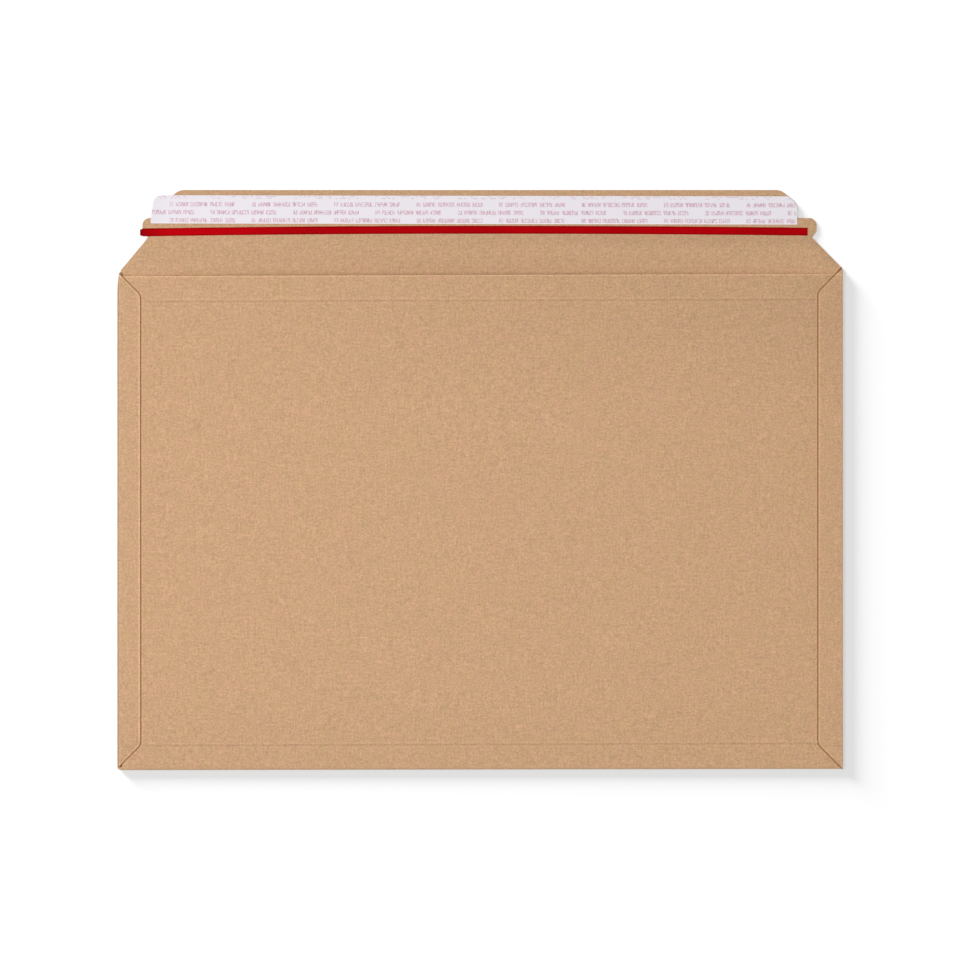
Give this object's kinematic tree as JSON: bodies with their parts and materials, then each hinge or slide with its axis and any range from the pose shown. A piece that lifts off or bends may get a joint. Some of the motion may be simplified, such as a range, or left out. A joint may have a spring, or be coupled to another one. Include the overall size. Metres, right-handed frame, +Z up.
{
  "type": "cardboard book mailer",
  "caption": "Flat kraft board envelope mailer with mitred side flaps, a sprung pocket, and a hinged closure flap with adhesive strip, release liner and tear strip.",
  "frame": {"origin": "on the table under the middle of the open mailer's box", "axes": "+X to the right along the mouth, +Y from the bottom fold to the closure flap, +Z up out of the back panel"},
  "size_m": [0.3626, 0.29, 0.0089],
  "materials": {
    "kraft_board": "uncoated kraft",
    "adhesive": "tacky hot melt",
    "release_paper": "silicone coated",
    "tear_tape": "satin film"
  },
  "bodies": {
    "envelope": {"envelope_body": "kraft_board"},
    "closure": {"closure_flap": "kraft_board", "adhesive_strip": "adhesive", "release_liner": "release_paper", "tear_strip": "tear_tape"}
  },
  "joints": [
    {"name": "closure_hinge", "type": "hinge", "parent": "envelope", "child": "closure", "pos_m": [0, 0.10555, 0.00545], "axis": [1, 0, 0], "range_deg": [0, 179]}
  ]
}
